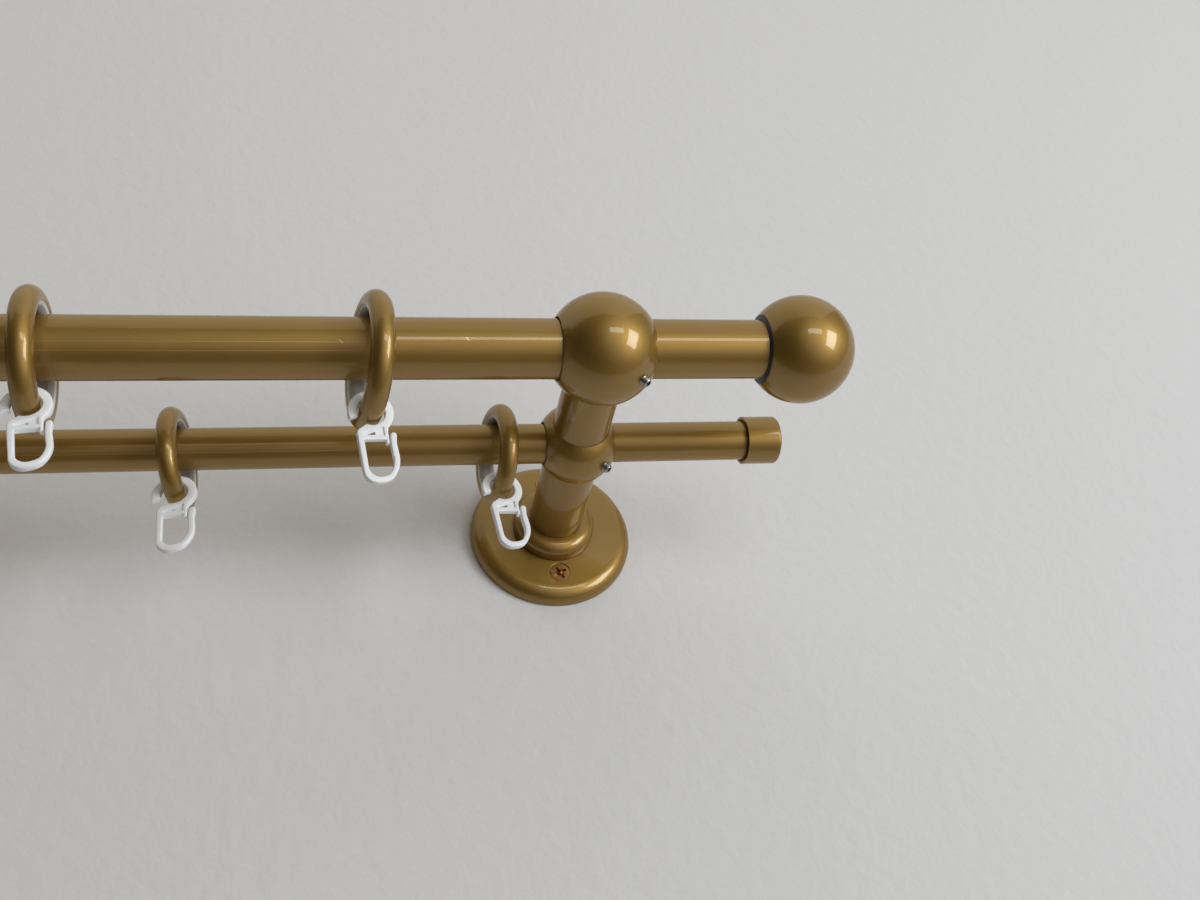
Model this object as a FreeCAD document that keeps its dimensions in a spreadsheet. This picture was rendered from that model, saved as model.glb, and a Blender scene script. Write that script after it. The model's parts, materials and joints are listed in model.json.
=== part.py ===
"""Double curtain pole on two wall brackets, with its rings and curtain hooks, in millimetres.

The origin lies on the wall, midway between the brackets and level with their arms.
X runs along the poles, Y into the wall and Z up, so the room is on the side of -Y.
"""
import FreeCAD
import Part
import Sketcher
import math
import os
import types

DRIVING_SIZES = {
    # Brackets and poles
    "bracket_spacing": 1000.0,
    "front_offset": 156.0,
    "rear_offset": 85.0,
    "front_pole_radius": 14.0,
    "rear_pole_radius": 10.0,
    "pole_wall": 1.2,
    "front_overhang": 100.0,
    "rear_overhang": 104.0,
    # Wall flange and collar
    "flange_radius": 44.0,
    "flange_edge": 2.5,
    "shoulder_radius": 36.0,
    "shoulder_height": 9.0,
    "face_height": 10.0,
    "recess_radius": 39.0,
    "recess_depth": 4.0,
    "hub_radius": 17.0,
    "boss_radius": 8.5,
    "collar_band": 7.9,
    "collar_side": 4.0,
    "collar_height": 10.0,
    "collar_lip": 1.8,
    "groove": 0.7,
    # Arm, its plugs and the two ball holders
    "arm_radius": 14.0,
    "arm_wall": 2.0,
    "socket_floor": 0.85,
    "plug_length": 20.0,
    "front_ball_radius": 26.5,
    "rear_ball_radius": 20.5,
    "pole_clearance": 0.7,
    "mouth_chamfer": 0.5,
    "fit_gap": 0.1,
    # Screws and bolts
    "bolt_radius": 3.0,
    "bolt_head_radius": 6.0,
    "bolt_length": 26.0,
    "head_sink": 0.5,
    "hex_across_corners": 4.6,
    "hex_depth": 2.0,
    "set_screw_radius": 2.5,
    "set_screw_stand": 3.0,
    "set_hex_radius": 1.45,
    "wall_screw_pitch": 58.0,
    "wall_screw_radius": 2.2,
    "wall_screw_neck": 1.9,
    "wall_screw_head": 5.4,
    "wall_screw_reach": 35.0,
    "wall_screw_point": 6.0,
    "wall_hole_radius": 2.6,
    "wall_sink_radius": 6.2,
    # Finials and end caps
    "finial_radius": 26.0,
    "finial_set_back": 2.5,
    "bush_wall": 2.3,
    "bush_end": 3.0,
    "bush_lip": 0.8,
    "cap_wall": 2.15,
    "cap_depth": 16.0,
    "cap_end": 2.6,
    "cap_edge": 2.0,
    "cap_flat": 2.5,
    "cap_mouth_depth": 1.6,
    "cap_mouth_gap": 1.0,
    # Rings and their liners
    "front_ring_radius": 31.1,
    "front_ring_section": 10.7,
    "rear_ring_radius": 24.85,
    "rear_ring_section": 9.1,
    "liner_step": 0.15,
    "liner_flat": 0.5,
    "liner_share": 0.34,
    "slide_gap": 0.3,
    # Hooks
    "hook_thickness": 3.0,
    "eye_radius": 6.2,
    "eye_band": 3.8,
    "eye_gap": 0.4,
    "loop_wire": 2.8,
    "loop_width": 17.2,
    "loop_shift": 1.4,
    "loop_top": 13.2,
    "loop_height": 17.2,
    "loop_lean": 0.4,
    "leg_lean": 0.9,
    "knee_rise": 4.8,
    "belly_run": 3.6,
    "belly_rise": 1.4,
    "tip_drop": 6.9,
    "tip_waist": 0.35,
    "tip_round": 0.4,
    "bar_height": 2.6,
    "shoulder_drop": 0.4,
    "shoulder_round": 2.0,
    "web_rise": 5.8,
    "nib_drop": 1.8,
    "nib_width": 1.3,
    "mouth_gap": 0.8,
    "window_start": 1.0,
    "window_run": 4.2,
    "window_rise": 1.6,
}

# Bulges of curved sides, each the rise of an arc as a share of half its chord
FLANGE_ROUND = 0.36
COLLAR_ROUND = 0.38
QUARTER_ROUND = 0.414
CAP_DOME = 0.03
FLOOR_ROUND = 0.14
SIDE_ROUND = 0.23
SHOULDER_ROUND = 0.35
TIP_ROUND = 0.9

# Directions about the middle of the hook's eye where its free end, its neck and its web lie
EYE_FREE_END = 198.0
EYE_NECK = -48.0
EYE_WEB = -115.0

# Where each ring hangs as a share of the bracket spacing, how far it is turned about the vertical,
# and how far its hook swings sideways and leans to the wall, in degrees
FRONT_RINGS = [
    (0.3934, 9.7, 6.0, 12.0),
    (0.2565, -2.4, 4.9, -3.6),
    (0.0960, 4.0, 2.0, 3.0),
    (-0.0580, -3.0, 4.0, 0.0),
    (-0.2210, 2.0, 3.0, -2.0),
    (-0.3770, -5.0, 1.0, 4.0),
]
REAR_RINGS = [
    (0.4588, 9.0, 3.3, 0.6),
    (0.3088, -10.6, -0.4, -6.1),
    (0.1400, 3.0, 2.0, 2.0),
    (-0.0350, -4.0, 3.0, -3.0),
    (-0.2080, 5.0, 1.0, 0.0),
    (-0.3840, -2.0, 4.0, 3.0),
]

# Direction of the set screws, out of the middle of each ball
SET_SCREW_SIDEWAYS = 34.0
SET_SCREW_FORWARDS = 9.0

doc = FreeCAD.newDocument("double_curtain_pole")


class Size:
    """A number that keeps the sheet formula it came from."""

    def __init__(self, value, text):
        self.value = value
        self.text = text

    def __add__(self, other):
        return combine(self, "+", other)

    def __radd__(self, other):
        return combine(other, "+", self)

    def __sub__(self, other):
        return combine(self, "-", other)

    def __rsub__(self, other):
        return combine(other, "-", self)

    def __mul__(self, other):
        return combine(self, "*", other)

    def __rmul__(self, other):
        return combine(other, "*", self)

    def __truediv__(self, other):
        return combine(self, "/", other)

    def __neg__(self):
        return combine(0.0, "-", self)


def as_size(number):
    """A Size from a Size or a plain number."""
    if isinstance(number, Size):
        return number
    return Size(float(number), f"({float(number):.9f})")


def combine(first, sign, second):
    """Two sizes joined by a sign, as a number and as a formula."""
    first = as_size(first)
    second = as_size(second)
    value = {
        "+": lambda a, b: a + b,
        "-": lambda a, b: a - b,
        "*": lambda a, b: a * b,
        "/": lambda a, b: a / b,
    }[sign](first.value, second.value)
    return Size(value, f"({first.text} {sign} {second.text})")


def root(size):
    """The square root of a size."""
    return Size(math.sqrt(size.value), f"sqrt({size.text})")


def fill_sheet():
    """Writes the driving sizes to the sheet and gives them back as Sizes."""
    sheet = doc.addObject("Spreadsheet::Sheet", "Dims")
    sizes = {}
    for row, (name, value) in enumerate(DRIVING_SIZES.items(), start=1):
        sheet.set(f"A{row}", name)
        sheet.set(f"B{row}", str(value))
        sheet.setAlias(f"B{row}", name)
        sizes[name] = Size(value, f"Dims.{name}")
    doc.recompute()
    return types.SimpleNamespace(**sizes)


dim = fill_sheet()
sub_parts = []

# Rotations that lay a solid made along Z onto another axis
ALONG_X = FreeCAD.Rotation(FreeCAD.Vector(0, 1, 0), 90)
ALONG_Y = FreeCAD.Rotation(FreeCAD.Vector(1, 0, 0), -90)
INTO_ROOM = FreeCAD.Rotation(FreeCAD.Vector(1, 0, 0), 90)
HALF_TURN = FreeCAD.Rotation(FreeCAD.Vector(0, 0, 1), 180)
# Lays a ball's two poles in the bore along X and its seam in the hole on the wall's side
POLES_IN_BORE = FreeCAD.Rotation(FreeCAD.Vector(1, 1, 1), 120)


def bind(obj, **sizes):
    """Ties properties of an object to sheet formulas."""
    for name, size in sizes.items():
        obj.setExpression(name, as_size(size).text)


def place(obj, x=0.0, y=0.0, z=0.0, turn=None):
    """Turns an object and ties its position to sheet formulas."""
    start = FreeCAD.Vector(as_size(x).value, as_size(y).value, as_size(z).value)
    obj.Placement = FreeCAD.Placement(start, turn or FreeCAD.Rotation())
    for axis, size in (("x", x), ("y", y), ("z", z)):
        if isinstance(size, Size):
            obj.setExpression(f"Placement.Base.{axis}", size.text)
    return obj


def cylinder(name, radius, height, turn=None, **where):
    """A round bar from its foot along Z, or along the axis that turn gives."""
    bar = doc.addObject("Part::Cylinder", name)
    bind(bar, Radius=radius, Height=height)
    return place(bar, turn=turn, **where)


def cone(name, foot_radius, top_radius, height, turn=None, **where):
    """A round taper from its foot along Z, or along the axis that turn gives."""
    taper = doc.addObject("Part::Cone", name)
    bind(taper, Radius1=foot_radius, Radius2=top_radius, Height=height)
    return place(taper, turn=turn, **where)


def hexagon(name, corner_radius, height, turn=None, **where):
    """A six-sided bar for a socket."""
    bar = doc.addObject("Part::Prism", name)
    bar.Polygon = 6
    bind(bar, Circumradius=corner_radius, Height=height)
    return place(bar, turn=turn, **where)


def ball(name, radius, turn=None, **where):
    """A sphere, with its poles on Z or on the axis that turn gives."""
    sphere = doc.addObject("Part::Sphere", name)
    bind(sphere, Radius=radius)
    return place(sphere, turn=turn, **where)


def fuse(name, *solids):
    """One solid, or a cutting tool, out of several."""
    joined = doc.addObject("Part::MultiFuse", name)
    joined.Shapes = list(solids)
    return joined


def cut(name, solid, *tools):
    """A solid with tools taken out of it."""
    result = doc.addObject("Part::Cut", name)
    result.Base = solid
    result.Tool = tools[0] if len(tools) == 1 else fuse(f"{name}_tools", *tools)
    return result


def group(name, solids):
    """Separate solids that share a node."""
    together = doc.addObject("Part::Compound", name)
    together.Links = solids
    return together


def sub_part(label, obj):
    """Names a finished piece and keeps it for writing."""
    obj.Label = label
    sub_parts.append(obj)
    return obj


def new_body(name):
    """An empty body with its own origin planes."""
    return doc.addObject("PartDesign::Body", name)


def arc_radius(start, end, bulge):
    """The radius of an arc whose rise is bulge times half its chord."""
    run = end[0] - start[0]
    rise = end[1] - start[1]
    return root(run * run + rise * rise) * ((1 + bulge * bulge) / (4 * abs(bulge)))


def arc_middle(start, end, bulge):
    """The middle point of such an arc, to the right of its chord for a positive bulge."""
    run = end[0].value - start[0].value
    rise = end[1].value - start[1].value
    x = (start[0].value + end[0].value) / 2 + bulge * rise / 2
    y = (start[1].value + end[1].value) / 2 - bulge * run / 2
    return FreeCAD.Vector(x, y, 0)


def outline(body, name, corners):
    """A closed sketch on the body's XY plane. A corner is x, y and the bulge of the side after it."""
    sketch = body.newObject("Sketcher::SketchObject", name)
    planes = {feature.Role: feature for feature in body.Origin.OriginFeatures}
    sketch.AttachmentSupport = [(planes["XY_Plane"], "")]
    sketch.MapMode = "FlatFace"
    points = [(as_size(corner[0]), as_size(corner[1])) for corner in corners]
    bulges = [corner[2] if len(corner) == 3 else 0.0 for corner in corners]
    ends = points[1:] + points[:1]
    starts = []
    for start, end, bulge in zip(points, ends, bulges):
        first = FreeCAD.Vector(start[0].value, start[1].value, 0)
        last = FreeCAD.Vector(end[0].value, end[1].value, 0)
        if bulge > 0:
            side = sketch.addGeometry(Part.Arc(first, arc_middle(start, end, bulge), last))
            starts.append((side, 1, 2))
        elif bulge < 0:
            side = sketch.addGeometry(Part.Arc(last, arc_middle(start, end, bulge), first))
            starts.append((side, 2, 1))
        else:
            side = sketch.addGeometry(Part.LineSegment(first, last))
            starts.append((side, 1, 2))
    for index, (side, first, last) in enumerate(starts):
        following = starts[(index + 1) % len(starts)]
        sketch.addConstraint(Sketcher.Constraint("Coincident", side, last, following[0], following[1]))
    for (side, first, last), point in zip(starts, points):
        for kind, size in zip(("DistanceX", "DistanceY"), point):
            number = sketch.addConstraint(Sketcher.Constraint(kind, -1, 1, side, first, size.value))
            sketch.setExpression(f"Constraints[{number}]", size.text)
    for (side, first, last), start, end, bulge in zip(starts, points, ends, bulges):
        if bulge:
            radius = arc_radius(start, end, bulge)
            number = sketch.addConstraint(Sketcher.Constraint("Radius", side, radius.value))
            sketch.setExpression(f"Constraints[{number}]", radius.text)
    return sketch


def turned(name, axis, corners):
    """A body turned about the sketch's own H_Axis (X) or V_Axis (Y)."""
    body = new_body(name)
    sketch = outline(body, f"{name}_outline", corners)
    feature = body.newObject("PartDesign::Revolution", f"{name}_turned")
    feature.Profile = sketch
    feature.ReferenceAxis = (sketch, [axis])
    feature.Angle = 360
    return body


def moulded(name, thickness, corners, window):
    """A flat body padded to both sides of its sketch, with a window through it."""
    body = new_body(name)
    plate = outline(body, f"{name}_outline", corners)
    pad = body.newObject("PartDesign::Pad", f"{name}_pad")
    pad.Profile = plate
    pad.SideType = "Symmetric"
    bind(pad, Length=thickness)
    opening = outline(body, f"{name}_window", window)
    pocket = body.newObject("PartDesign::Pocket", f"{name}_pocket")
    pocket.Profile = opening
    pocket.SideType = "Symmetric"
    bind(pocket, Length=2 * thickness)
    return body


# Sizes that several pieces share
bracket_x = dim.bracket_spacing / 2
front_bore = dim.front_pole_radius + dim.pole_clearance
rear_bore = dim.rear_pole_radius + dim.pole_clearance
arm_hole = dim.arm_radius + dim.fit_gap
arm_inside = dim.arm_radius - dim.arm_wall
collar_radius = arm_hole + dim.collar_band
bolt_hole = dim.bolt_radius + dim.fit_gap
bolt_taper = dim.bolt_head_radius - dim.bolt_radius
holder_face = dim.front_offset - front_bore - dim.head_sink
arm_end = holder_face - bolt_taper - dim.socket_floor
set_hole = dim.set_screw_radius + dim.fit_gap
screw_z = dim.wall_screw_pitch / 2

sideways = math.radians(SET_SCREW_SIDEWAYS)
forwards = math.radians(SET_SCREW_FORWARDS)
set_direction = FreeCAD.Vector(
    math.sin(sideways),
    -math.cos(sideways) * math.sin(forwards),
    -math.cos(sideways) * math.cos(forwards),
)
SET_TURN = FreeCAD.Rotation(FreeCAD.Vector(0, 0, 1), set_direction)


def wall_flange(side, x):
    """Cast base: a low dome with a hollow back, bosses behind its screw holes and a middle hub."""
    plate = turned(f"flange_plate_{side}", "V_Axis", [
        (0, 0),
        (dim.flange_radius, 0),
        (dim.flange_radius, -dim.flange_edge, -FLANGE_ROUND),
        (dim.shoulder_radius, -dim.shoulder_height),
        (collar_radius, -dim.face_height),
        (0, -dim.face_height),
    ])
    hollow = cylinder(f"flange_hollow_{side}", dim.recess_radius, dim.recess_depth, INTO_ROOM)
    hub = cylinder(f"flange_hub_{side}", dim.hub_radius, dim.recess_depth, INTO_ROOM)
    bosses = [
        cylinder(f"flange_boss_{side}", dim.boss_radius, dim.recess_depth, INTO_ROOM, z=z)
        for z in (-screw_z, screw_z)
    ]
    recess = cut(f"flange_recess_{side}", hollow, hub, *bosses)
    sink = dim.wall_sink_radius - dim.wall_hole_radius
    holes = []
    for z in (-screw_z, screw_z):
        holes.append(cylinder(
            f"flange_hole_{side}", dim.wall_hole_radius, dim.face_height, INTO_ROOM, z=z))
        holes.append(cone(
            f"flange_sink_{side}", dim.wall_hole_radius, dim.wall_sink_radius, sink, INTO_ROOM,
            y=-(dim.face_height - sink), z=z))
    bolt_sink = bolt_taper + dim.head_sink
    holes.append(cylinder(f"flange_bolt_hole_{side}", bolt_hole, dim.face_height, INTO_ROOM))
    holes.append(cone(
        f"flange_bolt_sink_{side}", bolt_hole + bolt_sink, bolt_hole, bolt_sink, INTO_ROOM))
    flange = cut(f"flange_{side}", plate, recess, *holes)
    sub_part(f"wall_flange_{side}", place(flange, x=x))


def arm_collar(side, x):
    """Domed ring round the arm's foot, with a fine groove where it stands on the flange."""
    foot = dim.face_height
    top = foot + dim.collar_height
    collar = turned(f"collar_{side}", "V_Axis", [
        (arm_hole, -foot),
        (collar_radius - dim.groove, -foot),
        (collar_radius - dim.groove, -(foot + dim.groove)),
        (collar_radius, -(foot + dim.groove)),
        (collar_radius, -(foot + dim.collar_side), -COLLAR_ROUND),
        (arm_hole + dim.collar_lip, -top),
        (arm_hole, -top),
    ])
    sub_part(f"arm_collar_{side}", place(collar, x=x))


def set_screw_hole(name, offset):
    """Tool for a set screw's hole out of the middle of a ball."""
    return cylinder(name, set_hole, dim.front_ball_radius * 2, SET_TURN, y=-offset)


def arm_tube(side, x):
    """Round arm from the flange to the front ball, cross-drilled for the rear pole."""
    length = arm_end - dim.fit_gap - dim.face_height
    bar = cylinder(f"arm_bar_{side}", dim.arm_radius, length, INTO_ROOM, y=-dim.face_height)
    inside = cylinder(f"arm_inside_{side}", arm_inside, length, INTO_ROOM, y=-dim.face_height)
    cross = cylinder(
        f"arm_cross_{side}", rear_bore, dim.arm_radius * 4, ALONG_X,
        x=-2 * dim.arm_radius, y=-dim.rear_offset)
    screw_hole = set_screw_hole(f"arm_screw_hole_{side}", dim.rear_offset)
    arm = cut(f"arm_{side}", bar, inside, cross, screw_hole)
    sub_part(f"arm_tube_{side}", place(arm, x=x))


def bore_tools(name, bore, ball_radius, offset):
    """Tools for a pole's bore through a ball: the bore and a small chamfer at each mouth."""
    mouth = root(ball_radius * ball_radius - bore * bore)
    chamfer = dim.mouth_chamfer
    tools = [cylinder(name, bore, ball_radius * 4, ALONG_X, x=-2 * ball_radius, y=-offset)]
    for end in (-1, 1):
        tools.append(cone(
            f"{name}_chamfer", bore, bore + 2 * chamfer, 2 * chamfer,
            FreeCAD.Rotation(FreeCAD.Vector(0, 1, 0), 90 * end),
            x=end * (mouth - chamfer), y=-offset))
    return tools


def rear_holder(side, x):
    """Small ball threaded over the arm, bored for the rear pole."""
    bead = ball(f"rear_bead_{side}", dim.rear_ball_radius, POLES_IN_BORE, y=-dim.rear_offset)
    through = cylinder(
        f"rear_through_{side}", arm_hole, dim.rear_ball_radius * 4, ALONG_Y,
        y=-(dim.rear_offset + 2 * dim.rear_ball_radius))
    bores = bore_tools(f"rear_bore_{side}", rear_bore, dim.rear_ball_radius, dim.rear_offset)
    screw_hole = set_screw_hole(f"rear_screw_hole_{side}", dim.rear_offset)
    holder = cut(f"rear_ball_{side}", bead, through, *bores, screw_hole)
    sub_part(f"rear_holder_{side}", place(holder, x=x))


def front_holder(side, x):
    """Large ball on the arm's end, bored for the front pole, with a socket for the arm."""
    bead = ball(f"front_bead_{side}", dim.front_ball_radius, POLES_IN_BORE, y=-dim.front_offset)
    socket = cylinder(f"front_socket_{side}", arm_hole, arm_end, INTO_ROOM)
    bores = bore_tools(f"front_bore_{side}", front_bore, dim.front_ball_radius, dim.front_offset)
    sink_depth = 2 * bolt_taper + dim.head_sink
    screw_hole = cylinder(f"front_bolt_hole_{side}", bolt_hole, dim.front_offset, INTO_ROOM)
    sink = cone(
        f"front_sink_{side}", bolt_hole, bolt_hole + sink_depth, sink_depth, INTO_ROOM,
        y=-(holder_face - bolt_taper))
    set_hole_tool = set_screw_hole(f"front_screw_hole_{side}", dim.front_offset)
    holder = cut(f"front_ball_{side}", bead, socket, *bores, screw_hole, sink, set_hole_tool)
    sub_part(f"front_holder_{side}", place(holder, x=x))


def arm_plug(name, x, depth):
    """Threaded plug inside the arm, from depth off the wall towards the room."""
    plug = cylinder(f"{name}_bar", arm_inside - dim.fit_gap, dim.plug_length, INTO_ROOM, y=-depth)
    hole = cylinder(f"{name}_hole", bolt_hole, dim.plug_length, INTO_ROOM, y=-depth)
    return place(cut(name, plug, hole), x=x)


def countersunk_bolt(name, x, face, towards_room):
    """Flat-headed bolt with a hex socket, its face at a depth off the wall."""
    turn = INTO_ROOM if towards_room else ALONG_Y
    head = cone(f"{name}_head", dim.bolt_head_radius, dim.bolt_radius, bolt_taper, turn, y=-face)
    shank = cylinder(f"{name}_shank", dim.bolt_radius, dim.bolt_length, turn, y=-face)
    socket = hexagon(f"{name}_socket", dim.hex_across_corners / 2, dim.hex_depth, turn, y=-face)
    return place(cut(name, fuse(f"{name}_blank", head, shank), socket), x=x)


def set_screw(name, x, offset, pole_radius, ball_radius):
    """Hex-socket grub screw from the pole's skin to a little outside the ball."""
    across = math.sqrt(1 - set_direction.x ** 2)
    tip = (pole_radius + dim.set_screw_radius * abs(set_direction.x)) / across + dim.fit_gap
    end = ball_radius + dim.set_screw_stand
    step = {
        "x": x + set_direction.x * tip,
        "y": set_direction.y * tip - offset,
        "z": set_direction.z * tip,
    }
    outer = end - dim.hex_depth
    socket_at = {
        "x": x + set_direction.x * outer,
        "y": set_direction.y * outer - offset,
        "z": set_direction.z * outer,
    }
    grub = cylinder(f"{name}_grub", dim.set_screw_radius, end - tip, SET_TURN, **step)
    socket = hexagon(f"{name}_socket", dim.set_hex_radius, dim.hex_depth, SET_TURN, **socket_at)
    return cut(name, grub, socket)


def wall_screw(name, x, z):
    """Countersunk wood screw with a plain neck in the flange and a thicker thread in the wall."""
    taper = dim.wall_screw_head - dim.wall_screw_neck
    sink_foot = dim.face_height - (dim.wall_sink_radius - dim.wall_hole_radius)
    foot = sink_foot - (dim.wall_hole_radius - dim.wall_screw_neck) + 2 * dim.fit_gap
    point_start = dim.wall_screw_reach - dim.wall_screw_point
    head = cone(
        f"{name}_head", dim.wall_screw_neck, dim.wall_screw_head, taper, INTO_ROOM,
        x=x, y=-foot, z=z)
    neck = cylinder(
        f"{name}_neck", dim.wall_screw_neck, point_start + foot, ALONG_Y, x=x, y=-foot, z=z)
    thread = cylinder(
        f"{name}_thread", dim.wall_screw_radius, point_start, ALONG_Y, x=x, z=z)
    point = cone(
        f"{name}_point", dim.wall_screw_radius, dim.fit_gap, dim.wall_screw_point, ALONG_Y,
        x=x, y=point_start, z=z)
    return fuse(name, head, neck, thread, point)


def brackets():
    """Both brackets, which are castings of one pattern, and the fasteners in them."""
    plugs = []
    flange_bolts = []
    holder_screws = []
    set_screws = []
    wall_screws = []
    for side, x in (("left", -bracket_x), ("right", bracket_x)):
        wall_flange(side, x)
        arm_collar(side, x)
        arm_tube(side, x)
        rear_holder(side, x)
        front_holder(side, x)
        plugs.append(arm_plug(f"wall_plug_{side}", x, dim.face_height))
        plugs.append(arm_plug(
            f"ball_plug_{side}", x, arm_end - dim.fit_gap - dim.plug_length))
        flange_bolts.append(countersunk_bolt(f"flange_bolt_{side}", x, dim.head_sink, True))
        holder_screws.append(countersunk_bolt(f"holder_screw_{side}", x, holder_face, False))
        set_screws.append(set_screw(
            f"front_set_screw_{side}", x, dim.front_offset, dim.front_pole_radius,
            dim.front_ball_radius))
        set_screws.append(set_screw(
            f"rear_set_screw_{side}", x, dim.rear_offset, dim.rear_pole_radius,
            dim.rear_ball_radius))
        wall_screws.append(wall_screw(f"lower_wall_screw_{side}", x, -screw_z))
        wall_screws.append(wall_screw(f"upper_wall_screw_{side}", x, screw_z))
    sub_part("arm_plugs", group("arm_plugs_group", plugs))
    sub_part("flange_bolts", group("flange_bolts_group", flange_bolts))
    sub_part("holder_screws", group("holder_screws_group", holder_screws))
    sub_part("set_screws", group("set_screws_group", set_screws))
    sub_part("wall_screws", group("wall_screws_group", wall_screws))


def pole(label, radius, overhang, offset):
    """Tube through both brackets."""
    length = dim.bracket_spacing + 2 * overhang
    bar = cylinder(f"{label}_bar", radius, length, ALONG_X, x=-length / 2, y=-offset)
    inside = cylinder(
        f"{label}_inside", radius - dim.pole_wall, length, ALONG_X, x=-length / 2, y=-offset)
    sub_part(label, cut(f"{label}_tube", bar, inside))


def finial(side, direction):
    """Ball finial with the plastic bush that grips the front pole's end."""
    end = bracket_x + dim.front_overhang
    turn = HALF_TURN if direction < 0 else FreeCAD.Rotation()
    where = {"x": direction * end, "y": -dim.front_offset, "turn": turn}
    inside = dim.front_pole_radius + dim.fit_gap
    bush_radius = inside + dim.bush_wall
    bush_hole = bush_radius + dim.fit_gap
    ball_face = dim.finial_set_back + root(
        dim.finial_radius * dim.finial_radius - bush_hole * bush_hole)
    bush = turned(f"bush_{side}", "H_Axis", [
        (-(ball_face + dim.bush_lip), inside),
        (-ball_face, bush_radius),
        (dim.bush_end, bush_radius),
        (dim.bush_end, 0),
        (dim.fit_gap, 0),
        (dim.fit_gap, inside),
    ])
    sub_part(f"finial_bush_{side}", place(bush, **where))
    sphere = ball(f"finial_sphere_{side}", dim.finial_radius, x=-dim.finial_set_back)
    depth = dim.finial_radius * 2
    bore = cylinder(
        f"finial_bore_{side}", bush_hole, depth, ALONG_X,
        x=dim.bush_end + dim.fit_gap - depth)
    sub_part(f"finial_ball_{side}", place(cut(f"finial_{side}", sphere, bore), **where))


def end_cap(side, direction):
    """Cap over the rear pole's end, with a soft edge, a low dome and a relieved mouth."""
    end = bracket_x + dim.rear_overhang
    turn = HALF_TURN if direction < 0 else FreeCAD.Rotation()
    inside = dim.rear_pole_radius + dim.fit_gap
    outside = inside + dim.cap_wall
    mouth = inside + dim.cap_mouth_gap
    crown = dim.cap_end - dim.cap_edge / 4
    cap = turned(f"cap_{side}", "H_Axis", [
        (-dim.cap_depth, mouth),
        (-dim.cap_depth, outside),
        (dim.cap_end - dim.cap_edge, outside, -QUARTER_ROUND),
        (crown, outside - dim.cap_edge, -CAP_DOME),
        (dim.cap_end, dim.cap_flat),
        (dim.cap_end, 0),
        (dim.fit_gap, 0),
        (dim.fit_gap, inside),
        (-(dim.cap_depth - dim.cap_mouth_depth), inside),
        (-(dim.cap_depth - dim.cap_mouth_depth), mouth),
    ])
    sub_part(f"end_cap_{side}", place(cap, x=direction * end, y=-dim.rear_offset, turn=turn))


def ring_masters(name, outer_radius, section):
    """Solids that every ring of one size is cut from, about Z."""
    tube_radius = section / 2
    middle = outer_radius - tube_radius
    seam = middle - section * (0.5 - dim.liner_share)
    bore = outer_radius - section + dim.liner_flat
    hoop = doc.addObject("Part::Torus", f"{name}_hoop")
    bind(hoop, Radius1=middle, Radius2=tube_radius)
    filling = doc.addObject("Part::Torus", f"{name}_filling")
    bind(filling, Radius1=middle, Radius2=tube_radius - dim.liner_step)
    seat = cylinder(f"{name}_seat", seam, section * 2, z=-section)
    inner = doc.addObject("Part::Common", f"{name}_inner")
    inner.Base = filling
    inner.Tool = seat
    hole = cylinder(f"{name}_hole", bore, section * 2, z=-section)
    return {"hoop": hoop, "seat": seat, "inner": inner, "hole": hole, "bore": bore}


def eye_points(radius, start, end, turn):
    """An arc of the eye from one direction to another as two sides, with the corner that ends it."""
    bulge = turn * math.tan(math.radians(abs(end - start)) / 8)
    directions = [math.radians(angle) for angle in (start, (start + end) / 2, end)]
    corners = [(math.cos(angle) * radius, math.sin(angle) * radius) for angle in directions]
    return [(*corners[0], bulge), (*corners[1], bulge), corners[2]]


def hook_corners():
    """The hook's outline about the middle of its eye, from the eye's free end round the loop."""
    middle = dim.loop_shift
    left = middle - dim.loop_width / 2
    right = middle + dim.loop_width / 2
    inner_left = left + dim.loop_wire
    inner_right = right - dim.loop_wire
    bar_foot = -dim.loop_top
    bar_top = bar_foot + dim.bar_height
    inner_foot = bar_foot - dim.loop_height
    foot = inner_foot - dim.loop_wire
    nib_right = inner_right - dim.mouth_gap
    nib_left = nib_right - dim.nib_width
    knee = inner_foot + dim.knee_rise
    bend = bar_foot - dim.tip_drop
    tip = bar_top - dim.tip_round
    shoulder = bar_top - dim.shoulder_drop
    return [
        *eye_points(dim.eye_radius + dim.eye_band, EYE_FREE_END, EYE_NECK, -1),
        (nib_right, bar_top),
        (nib_right, bar_foot - dim.nib_drop),
        (nib_left, bar_foot - dim.nib_drop),
        (nib_left, bar_foot),
        (inner_left, bar_foot),
        (inner_left + dim.loop_lean, knee, QUARTER_ROUND),
        (middle - dim.leg_lean, inner_foot, FLOOR_ROUND),
        (middle + dim.belly_run, inner_foot + dim.belly_rise, SIDE_ROUND),
        (inner_right, bend),
        (inner_right, tip, -TIP_ROUND),
        (right, tip),
        (right - dim.tip_waist, bar_foot - dim.nib_drop),
        (right, bend, -SIDE_ROUND),
        (middle + dim.belly_run + dim.leg_lean, foot + dim.belly_rise + dim.loop_lean, -FLOOR_ROUND),
        (middle - dim.leg_lean, foot, -QUARTER_ROUND),
        (left + dim.leg_lean, knee - dim.loop_wire),
        (left, shoulder, -SHOULDER_ROUND),
        (left + dim.shoulder_round, bar_foot + dim.web_rise),
        *eye_points(dim.eye_radius, EYE_WEB, EYE_FREE_END, 1),
    ]


def hook_window():
    """The three-cornered window above the hook's bar, under the slope of its web."""
    left = dim.loop_shift - dim.loop_width / 2 + dim.loop_wire + dim.window_start
    right = left + dim.window_run
    foot = dim.bar_height - dim.loop_top
    return [(left, foot), (right, foot), (right, foot + dim.window_rise)]


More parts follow.
